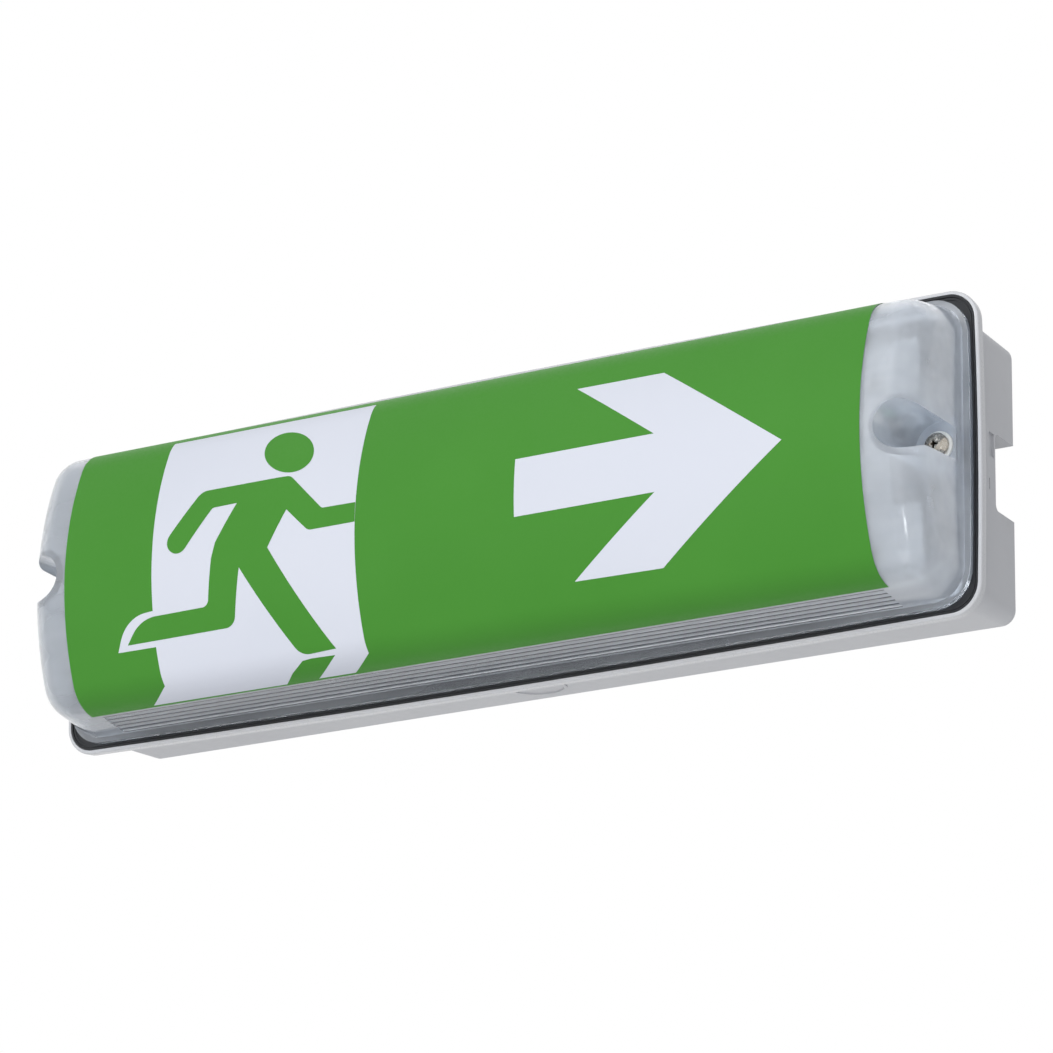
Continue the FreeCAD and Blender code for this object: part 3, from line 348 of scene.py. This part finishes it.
cover_crest = -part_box("sign_film")[0].y - film_stand
crown_centre = cover_crest - crown_radius
inward = Vector((-math.cos(side_draft), -math.sin(side_draft)))
upward = Vector((-math.sin(side_draft), math.cos(side_draft)))
start = Vector((foot_half, foot_depth - crown_centre)) + inward * shoulder_radius
across = start.dot(upward)
run = -across + math.sqrt(across ** 2 - start.length_squared + (crown_radius - shoulder_radius) ** 2)
hub = start + upward * run
crown_turn = math.atan2(hub.x, hub.y)
shoulder_turn = math.pi / 2 - side_draft - crown_turn
crown_arc, shoulder_arc = crown_radius * crown_turn, shoulder_radius * shoulder_turn


def wrapped(x, girth, lift):
    """Where a flat point of the film lies round the cover, lifted off the cover by lift."""
    side, reach = (1 if girth >= 0 else -1), abs(girth)
    if reach <= crown_arc:
        turn = reach / crown_radius
        flat = Vector((math.sin(turn), math.cos(turn))) * (crown_radius + lift)
    elif reach <= crown_arc + shoulder_arc:
        turn = crown_turn + (reach - crown_arc) / shoulder_radius
        flat = hub + Vector((math.sin(turn), math.cos(turn))) * (shoulder_radius + lift)
    else:
        flat = hub - inward * (shoulder_radius + lift) - upward * (reach - crown_arc - shoulder_arc)
    return Vector((x, -(flat.y + crown_centre), side * flat.x))


def rounded_outline(points, steps=10):
    """A flat outline in millimetres; a point with a third number is a corner of that radius."""
    outline = []
    count = len(points)
    for index, point in enumerate(points):
        here = Vector(point[:2])
        radius = point[2] if len(point) > 2 else 0
        if not radius:
            outline.append(here)
            continue
        before, after = Vector(points[index - 1][:2]), Vector(points[(index + 1) % count][:2])
        into, out = (before - here).normalized(), (after - here).normalized()
        half = into.angle(out) / 2
        trim = radius / math.tan(half)
        centre = here + (into + out).normalized() * (radius / math.sin(half))
        first, last = here + into * trim - centre, here + out * trim - centre
        turn = first.angle_signed(last)
        for step in range(steps + 1):
            outline.append(centre + Matrix.Rotation(-turn * step / steps, 2) @ first)
    return outline


def printed(name, outlines, lift):
    """A layer of ink: flat outlines cut into fine strips and wrapped on the film."""
    shape = bmesh.new()
    for outline in outlines:
        shape.faces.new([shape.verts.new((p.x, p.y, 0)) for p in outline]).normal_update()
    bmesh.ops.triangulate(shape, faces=shape.faces)
    strip_width, strips_each_way = 1.0, 70
    for strip in range(-strips_each_way, strips_each_way + 1):
        everything = shape.verts[:] + shape.edges[:] + shape.faces[:]
        bmesh.ops.bisect_plane(shape, geom=everything, dist=1e-5,
                               plane_co=(0, strip * strip_width, 0), plane_no=(0, 1, 0))
    bmesh.ops.remove_doubles(shape, verts=shape.verts, dist=1e-4)
    for vert in shape.verts:
        vert.co = wrapped(vert.co.x / 1000, vert.co.y / 1000, lift)
    bmesh.ops.recalc_face_normals(shape, faces=shape.faces)
    shape.normal_update()
    for face in shape.faces:
        face.smooth = True
        centre = face.calc_center_median()
        outward = Vector((0, centre.y + crown_centre, centre.z))
        if face.normal.dot(outward) < 0:
            face.normal_flip()
    mesh = bpy.data.meshes.new(name)
    shape.to_mesh(mesh)
    shape.free()
    return mesh


def ink(name, dark, light, dullest, grain_size, grain_detail):
    """Printing ink or bare film: slow clouding and an uneven gloss."""
    layer = Finish(name, specular_ior_level=0.25)
    patch, grain = layer.noise(0.05, 3), layer.noise(grain_size, grain_detail)
    return layer.done(base_color=layer.blend(patch, paint(*dark), paint(*light)),
                      roughness=layer.spread(grain, (0.3, 0.7), (0.42, dullest)))


green_ink = ink("green ink", (66, 136, 44), (72, 142, 50), 0.55, grain_size=0.0012, grain_detail=2)
white_film = ink("white film", (215, 219, 229), (221, 224, 233), 0.52, grain_size=0.05, grain_detail=3)

field = rounded_outline([(film_left, -film_half_girth), (film_right, -film_half_girth),
                         (film_right, film_half_girth), (film_left, film_half_girth)])
door = rounded_outline([(-136.5, 52.0), (-136.9, -22.1), (-149.6, -22.9, 15), (-155.4, -36.2),
                        (-137.2, -36.3), (-137.2, -52.1), (-148.2, -61.3), (-84.8, -61.7),
                        (-78.6, -55.9), (-71.5, -51.1), (-67.2, -50.7), (-56.2, -50.9),
                        (-69.5, -61.3), (-52.6, -61.4), (-41.4, -52.4), (-40.5, 52.0)])
arrow = rounded_outline([(31.1, 12.4), (31.0, -10.5), (92.3, -10.5), (54.6, -38.6), (92.8, -39.1),
                         (146.3, 0.7), (92.7, 38.5), (54.7, 38.7), (91.7, 12.5)])
man = rounded_outline([(-79.3, 23.8), (-115.1, 23.9, 6), (-131.7, 3.4, 4.8), (-123.7, -2.8, 4.8),
                       (-108.9, 15.7, 2), (-97.4, 15.9), (-106.5, 0.8), (-108.2, -5.2), (-110.6, -24.1, 3),
                       (-143.1, -24.4, 15), (-150.4, -33.9), (-99.1, -33.7, 5), (-95.1, -10.9),
                       (-70.9, -49.0, 7), (-54.8, -48.4), (-81.6, -5.0), (-73.3, 9.2), (-62.7, -1.0, 4),
                       (-41.0, -1.0), (-41.0, 6.9), (-56.6, 7.1, 2), (-73.1, 23.6, 5)])
head_centre, head_side, head_top = Vector((-76.1, 35.0)), Vector((12.1, -1.9)), Vector((-1.8, 9.8))
head_points = 48
head = [head_centre + head_side * math.cos(angle) + head_top * math.sin(angle)
        for angle in (2 * math.pi * index / head_points for index in range(head_points))]

for name, outlines, lift, finish, replaced in (
        ("film_field", [field], 0.00022, green_ink, ["sign_film"]),
        ("film_panels", [door, arrow], 0.00028, white_film, []),
        ("film_figure", [man, head], 0.00034, green_ink, [])):
    new_piece(name, printed(name, outlines, lift), finish, "cover", "sign", *replaced)

# ---------------------------------------------------------------- cover screws and washers
# Stainless pan-head screws with a cross recess and a rolled thread, held in the pockets over pale
# nylon washers. The thread bites into the housing's pillars.
thread_pitch, thread_turns, thread_wire = 0.0014, 7.5, 0.00042
shank_radius, tip_length = 0.0022, 0.0025
recess_radius, recess_shade, recess_dark = 0.0026, 0.0005, 0.0012
screw_distance = 0.1932


def growth(name, sizes):
    """A new Geometry Nodes tree with named sizes, and its input sockets by name."""
    tree = bpy.data.node_groups.new(name, "GeometryNodeTree")
    tree.interface.new_socket(name="Geometry", in_out="OUTPUT", socket_type="NodeSocketGeometry")
    for size, kind in sizes.items():
        tree.interface.new_socket(name=size, in_out="INPUT", socket_type="NodeSocket" + kind)
    outputs = tree.nodes.new("NodeGroupInput").outputs
    return tree, {size: Socket(tree, outputs[size]) for size in sizes}


def grown(name, tree, last, given, values, material):
    """Ends a tree with plain geometry and its material, sets its sizes, and returns the mesh."""
    real = node(tree, "GeometryNodeRealizeInstances", {}, {"Geometry": last})[0]
    coated = node(tree, "GeometryNodeSetMaterial", {}, {"Geometry": real, "Material": given["Material"]})[0]
    end = tree.nodes.new("NodeGroupOutput")
    tree.links.new(coated.link, end.inputs[0])
    seed = bpy.data.objects.new(name, bpy.data.meshes.new(name + "_seed"))
    scene.collection.objects.link(seed)
    grower = seed.modifiers.new("growth", "NODES")
    grower.node_group = tree
    named = {item.name: item.identifier for item in tree.interface.items_tree if item.in_out == "INPUT"}
    for size, value in {**values, "Material": material}.items():
        grower[named[size]] = value
    bpy.context.view_layer.update()
    mesh = bpy.data.meshes.new_from_object(seed.evaluated_get(bpy.context.evaluated_depsgraph_get()))
    bpy.data.objects.remove(seed)
    for face in mesh.polygons:
        face.use_smooth = True
    mesh.name = name
    return mesh


steel = Finish("screw steel", metallic=1.0)
turned = steel.noise(0.0012, 2)
over, out, rise = steel.parts()
off_axis = (over.size() - screw_distance).math("POWER", 2) + rise.math("POWER", 2)
head_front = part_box("cover_screw_right")[0].y
# Painted shade: the cross recess is painted dark, for the shade that falls inside it.
recess = off_axis.math("LESS_THAN", recess_radius ** 2) * steel.spread(
    out, (head_front + recess_shade, head_front + recess_dark), (0, 1))
bright = steel.blend(turned, paint(146, 138, 126), paint(206, 202, 194))
steel_material = steel.done(base_color=steel.blend(recess, bright, paint(46, 38, 32)),
                            roughness=steel.spread(turned, (0.3, 0.7), (0.16, 0.34)))
for side in ("left", "right"):
    body = f"screw_{side}"
    new_piece(body, smooth_copy(f"cover_screw_{side}", 30), steel_material, body, "fastener",
              f"cover_screw_{side}")
    tree, given = growth("screw thread", {"Pitch": "Float", "Turns": "Float", "Radius": "Float",
                                          "Wire": "Float", "Tip": "Vector", "Material": "Material"})
    helix = node(tree, "GeometryNodeCurveSpiral", {}, {
        "Resolution": 20, "Rotations": given["Turns"], "Start Radius": given["Radius"],
        "End Radius": given["Radius"], "Height": given["Pitch"] * given["Turns"]})[0]
    section = node(tree, "GeometryNodeCurvePrimitiveCircle", {},
                   {"Resolution": 4, "Radius": given["Wire"]})[0]
    ridge = node(tree, "GeometryNodeCurveToMesh", {},
                 {"Curve": helix, "Profile Curve": section, "Fill Caps": True})[0]
    placed = node(tree, "GeometryNodeTransform", {},
                  {"Geometry": ridge, "Translation": given["Tip"], "Rotation": (math.pi / 2, 0, 0)})[0]
    low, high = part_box(f"cover_screw_{side}")
    thread = grown(f"thread_{side}", tree, placed, given, {
        "Pitch": thread_pitch, "Turns": thread_turns, "Radius": shank_radius, "Wire": thread_wire,
        "Tip": ((low.x + high.x) / 2, high.y - tip_length, 0)}, steel_material)
    new_piece(f"thread_{side}", thread, steel_material, body, "fastener")

nylon = Finish("washer nylon", roughness=0.4)
nylon_material = nylon.done(
    base_color=nylon.blend(nylon.noise(0.003), paint(222, 222, 218), paint(232, 232, 228)))
new_piece("washer_rings", smooth_copy("cover_washers"), nylon_material, "cover", "washer", "cover_washers")

# ---------------------------------------------------------------- tray and its screws
# A folded tray of white enamelled steel that carries the lamp and screens the gear. Its enamel has
# a faint orange peel; the screws are zinc plated.

def dress(cad_name, material):
    """Gives a solid that is shown as it is its finish."""
    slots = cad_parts[cad_name].data.materials
    slots.clear()
    slots.append(material)


enamel = Finish("tray enamel", coat_weight=0.5, coat_roughness=0.1)
peel_depth = 0.00003
peel = enamel.noise(0.0018, 2)
soiled = enamel.noise(0.03, 4)
soiled_share = enamel.spread(soiled, (0.4, 0.75), (0, 1))
dress("gear_tray", enamel.done(
    base_color=enamel.blend(soiled_share, paint(233, 234, 234), paint(216, 216, 213)),
    roughness=enamel.spread(soiled, (0.3, 0.7), (0.25, 0.4)),
    normal=enamel.bump(peel, peel_depth, 0.5)))


def plated(name, dark, light, rough, stretch=(1, 1, 1)):
    """Bare or plated metal with fine drawing marks."""
    metal = Finish(name, metallic=1.0)
    marks = metal.noise(0.0009, 3, stretch)
    return metal.done(base_color=metal.blend(marks, paint(*dark), paint(*light)),
                      roughness=metal.spread(marks, (0.3, 0.7), (rough * 0.7, rough * 1.3)),
                      normal=metal.bump(marks, 0.00001, 0.4))


dress("tray_screws", plated("zinc plate", (150, 152, 150), (196, 197, 192), 0.3))

# ---------------------------------------------------------------- lamp and its holders
# An eight watt tube: phosphor-coated glass that greys towards its cathodes, aluminium caps and brass
# pins. White thermoplastic holders grip the pins by a rotor.
tube_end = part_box("fluorescent_tube")[1].x
grey_from, grey_full, grey_raggedness = 0.014, 0.001, 0.006
glass = Finish("tube glass", coat_weight=1.0, coat_roughness=0.02)
tube_along = glass.parts()[0].size() + glass.noise(0.006, 2) * grey_raggedness
cathode = glass.spread(tube_along, (tube_end - grey_from, tube_end - grey_full), (0, 1))
dress("fluorescent_tube", glass.done(
    base_color=glass.blend(cathode, paint(244, 244, 240), paint(186, 182, 172)),
    roughness=glass.spread(glass.noise(0.002), (0.3, 0.7), (0.3, 0.4))))
dress("tube_caps", plated("cap aluminium", (172, 173, 176), (208, 209, 212), 0.28, (0.05, 1, 1)))
dress("tube_pins", plated("pin brass", (172, 140, 78), (214, 184, 116), 0.25, (0.1, 1, 1)))


def moulded(name, dark, light, rough=0.35, speck=0.0008, depth=0.00002):
    """A moulded plastic or rubber: slow clouding, a fine texture and uneven gloss."""
    resin = Finish(name)
    clouding, texture = resin.noise(0.012, 3), resin.noise(speck, 2)
    return resin.done(base_color=resin.blend(clouding, paint(*dark), paint(*light)),
                      roughness=resin.spread(texture, (0.3, 0.7), (rough * 0.8, rough * 1.2)),
                      normal=resin.bump(texture, depth, 0.5))


holder_white = moulded("holder plastic", (226, 225, 219), (238, 237, 232))
dress("lampholder_left", holder_white)
dress("lampholder_right", holder_white)
dress("holder_rotors", moulded("rotor plastic", (206, 203, 194), (220, 218, 210), 0.45))

# ---------------------------------------------------------------- control board
# A glass-epoxy board with green mask over copper tracks, and its parts: cans, transistors, headers
# and a transformer wound with enamelled wire. Joints of solder stand in two rows along its edges.
mask = Finish("board mask", coat_weight=0.6, coat_roughness=0.1)
track_depth = 0.00004
board_x, _, board_z = mask.parts()
board_plane = mask.node("ShaderNodeCombineXYZ", {}, {0: board_x, 1: board_z})[0]
tracks = mask.node("ShaderNodeTexBrick", {"offset": 0.37, "squash": 0.6}, {
    "Vector": board_plane, "Scale": 60.0, "Mortar Size": 0.06, "Mortar Smooth": 0.1,
    "Color1": (0, 0, 0), "Color2": (0, 0, 0), "Mortar": (1, 1, 1)})[1]
dress("circuit_board", mask.done(
    base_color=mask.blend(tracks, paint(24, 84, 48), paint(52, 122, 66)),
    roughness=mask.spread(mask.noise(0.004), (0.3, 0.7), (0.3, 0.45)),
    normal=mask.bump(tracks, track_depth, 0.8)))
dress("board_spacers", moulded("spacer nylon", (222, 219, 205), (234, 232, 220), 0.4))
dress("transformer_core", moulded("ferrite", (44, 44, 46), (62, 62, 64), 0.6, 0.0004, 0.00004))
dress("transformer_coil", moulded("winding tape", (204, 164, 44), (222, 184, 66), 0.35))
dress("smoothing_capacitors", moulded("can sleeve", (26, 32, 58), (38, 46, 78), 0.28))
dress("power_transistors", moulded("epoxy case", (22, 22, 23), (34, 34, 36), 0.5))
dress("board_connectors", moulded("header nylon", (224, 221, 208), (236, 234, 222), 0.4))

enamelled = plated("enamelled wire", (150, 76, 34), (196, 112, 58), 0.25)
coil_low, coil_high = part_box("transformer_coil")
turn_count, turn_pitch, wire_radius = 11, 0.0006, 0.0003
turn_corner, turn_shift = 0.0022, 0.0006
tree, given = growth("coil turns", {"Count": "Int", "Pitch": "Float", "Long": "Float", "Wide": "Float",
                                    "Wire": "Float", "Start": "Vector", "Material": "Material"})
loop = node(tree, "GeometryNodeCurvePrimitiveQuadrilateral", {}, {0: given["Long"], 1: given["Wide"]})[0]
rounded_loop = node(tree, "GeometryNodeFilletCurve", {"mode": "POLY"},
                    {"Curve": loop, "Count": 5, "Radius": turn_corner})[0]
wire_section = node(tree, "GeometryNodeCurvePrimitiveCircle", {},
                    {"Resolution": 6, "Radius": given["Wire"]})[0]
turn = node(tree, "GeometryNodeCurveToMesh", {},
            {"Curve": rounded_loop, "Profile Curve": wire_section})[0]
flat_turn = node(tree, "GeometryNodeTransform", {},
                 {"Geometry": turn, "Rotation": (math.pi / 2, 0, 0)})[0]
step = node(tree, "ShaderNodeCombineXYZ", {}, {1: given["Pitch"]})[0]
stack = node(tree, "GeometryNodeMeshLine", {},
             {"Count": given["Count"], "Start Location": given["Start"], "Offset": step})[0]
turns = node(tree, "GeometryNodeInstanceOnPoints", {}, {"Points": stack, "Instance": flat_turn})[0]
coil_middle = (coil_low + coil_high) / 2
first_turn = coil_middle.y - turn_pitch * (turn_count - 1) / 2 - turn_shift
coil_wire = grown("coil_turns", tree, turns, given, {
    "Count": turn_count, "Pitch": turn_pitch, "Long": coil_high.x - coil_low.x + wire_radius,
    "Wide": coil_high.z - coil_low.z + wire_radius, "Wire": wire_radius,
    "Start": (coil_middle.x, first_turn, coil_middle.z)}, enamelled)
new_piece("coil_turns", coil_wire, enamelled, "base", "winding")

solder = plated("solder", (176, 178, 182), (214, 216, 220), 0.3)
board_low, board_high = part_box("circuit_board")
joint_count, joint_pitch, joint_radius = 26, 0.00508, 0.0009
joint_edge, joint_margin = 0.0019, 0.0205
tree, given = growth("solder joints", {"Count": "Int", "Pitch": "Float", "Apart": "Float",
                                       "Radius": "Float", "Start": "Vector", "Material": "Material"})
ball = node(tree, "GeometryNodeMeshIcoSphere", {}, {"Radius": given["Radius"], "Subdivisions": 2})[0]
low_dome = node(tree, "GeometryNodeTransform", {}, {"Geometry": ball, "Scale": (1, 0.5, 1)})[0]
pitch = node(tree, "ShaderNodeCombineXYZ", {}, {0: given["Pitch"]})[0]
apart = node(tree, "ShaderNodeCombineXYZ", {}, {2: given["Apart"]})[0]
far_start = node(tree, "ShaderNodeVectorMath", {"operation": "ADD"}, {0: given["Start"], 1: apart})[0]
both = tree.nodes.new("GeometryNodeJoinGeometry")
for row_start in (given["Start"], far_start):
    row = node(tree, "GeometryNodeMeshLine", {},
               {"Count": given["Count"], "Start Location": row_start, "Offset": pitch})[0]
    tree.links.new(row.link, both.inputs[0])
joints = node(tree, "GeometryNodeInstanceOnPoints", {},
              {"Points": Socket(tree, both.outputs[0]), "Instance": low_dome})[0]
solder_joints = grown("solder_joints", tree, joints, given, {
    "Count": joint_count, "Pitch": joint_pitch, "Apart": board_high.z - board_low.z - 2 * joint_edge,
    "Radius": joint_radius,
    "Start": (board_low.x + joint_margin, board_low.y, board_low.z + joint_edge)}, solder)
new_piece("solder_joints", solder_joints, solder, "base", "board")

# ---------------------------------------------------------------- battery
# Three nickel cells end to end under a green shrunk sleeve, held in nylon straps. The sleeve wrinkles
# round the cells and shines.
sleeve = Finish("battery sleeve", coat_weight=0.7, coat_roughness=0.12)
wrinkle = sleeve.noise(0.004, 3, (0.25, 1, 1))
wrinkle_depth = 0.0002
dress("battery_pack", sleeve.done(
    base_color=sleeve.blend(wrinkle, paint(56, 116, 82), paint(74, 140, 100)),
    roughness=sleeve.spread(wrinkle, (0.3, 0.7), (0.25, 0.4)),
    normal=sleeve.bump(wrinkle, wrinkle_depth, 0.4)))
dress("battery_straps", moulded("strap nylon", (206, 207, 208), (222, 223, 224), 0.4))

# ---------------------------------------------------------------- mains terminals and indicator
# A three-way strip of cream nylon with brass screws for the supply, and a green indicator in a black
# push-in bezel.
dress("mains_terminals", moulded("terminal nylon", (224, 219, 198), (236, 232, 214), 0.4))
dress("terminal_screws", plated("terminal brass", (170, 142, 84), (208, 182, 122), 0.3))
diode = Finish("indicator resin", transmission_weight=0.4, ior=1.5, coat_weight=0.6)
dress("indicator_led", diode.done(
    base_color=diode.blend(diode.noise(0.002), paint(44, 176, 66), paint(70, 205, 88)),
    roughness=diode.spread(diode.noise(0.001), (0.3, 0.7), (0.1, 0.2))))
dress("indicator_bezel", moulded("bezel plastic", (22, 22, 23), (32, 32, 33), 0.32))

# ---------------------------------------------------------------- seals and leads
# Rubber seals close the wall fixings and the cable entry; single wires in soft sheath run from the
# board to the lamp, the battery and the terminals.
dress("fixing_seals", moulded("seal rubber", (26, 26, 27), (38, 38, 39), 0.6))
dress("entry_grommet", moulded("grommet rubber", (28, 28, 29), (40, 40, 41), 0.55))
for cad_name, dark, light in (("lamp_leads_left", (220, 219, 213), (234, 233, 228)),
                              ("lamp_leads_right", (220, 219, 213), (234, 233, 228)),
                              ("battery_leads", (148, 26, 22), (172, 38, 32)),
                              ("mains_leads", (44, 76, 140), (60, 96, 164))):
    dress(cad_name, moulded(cad_name.replace("_", " ") + " sheath", dark, light, 0.38))
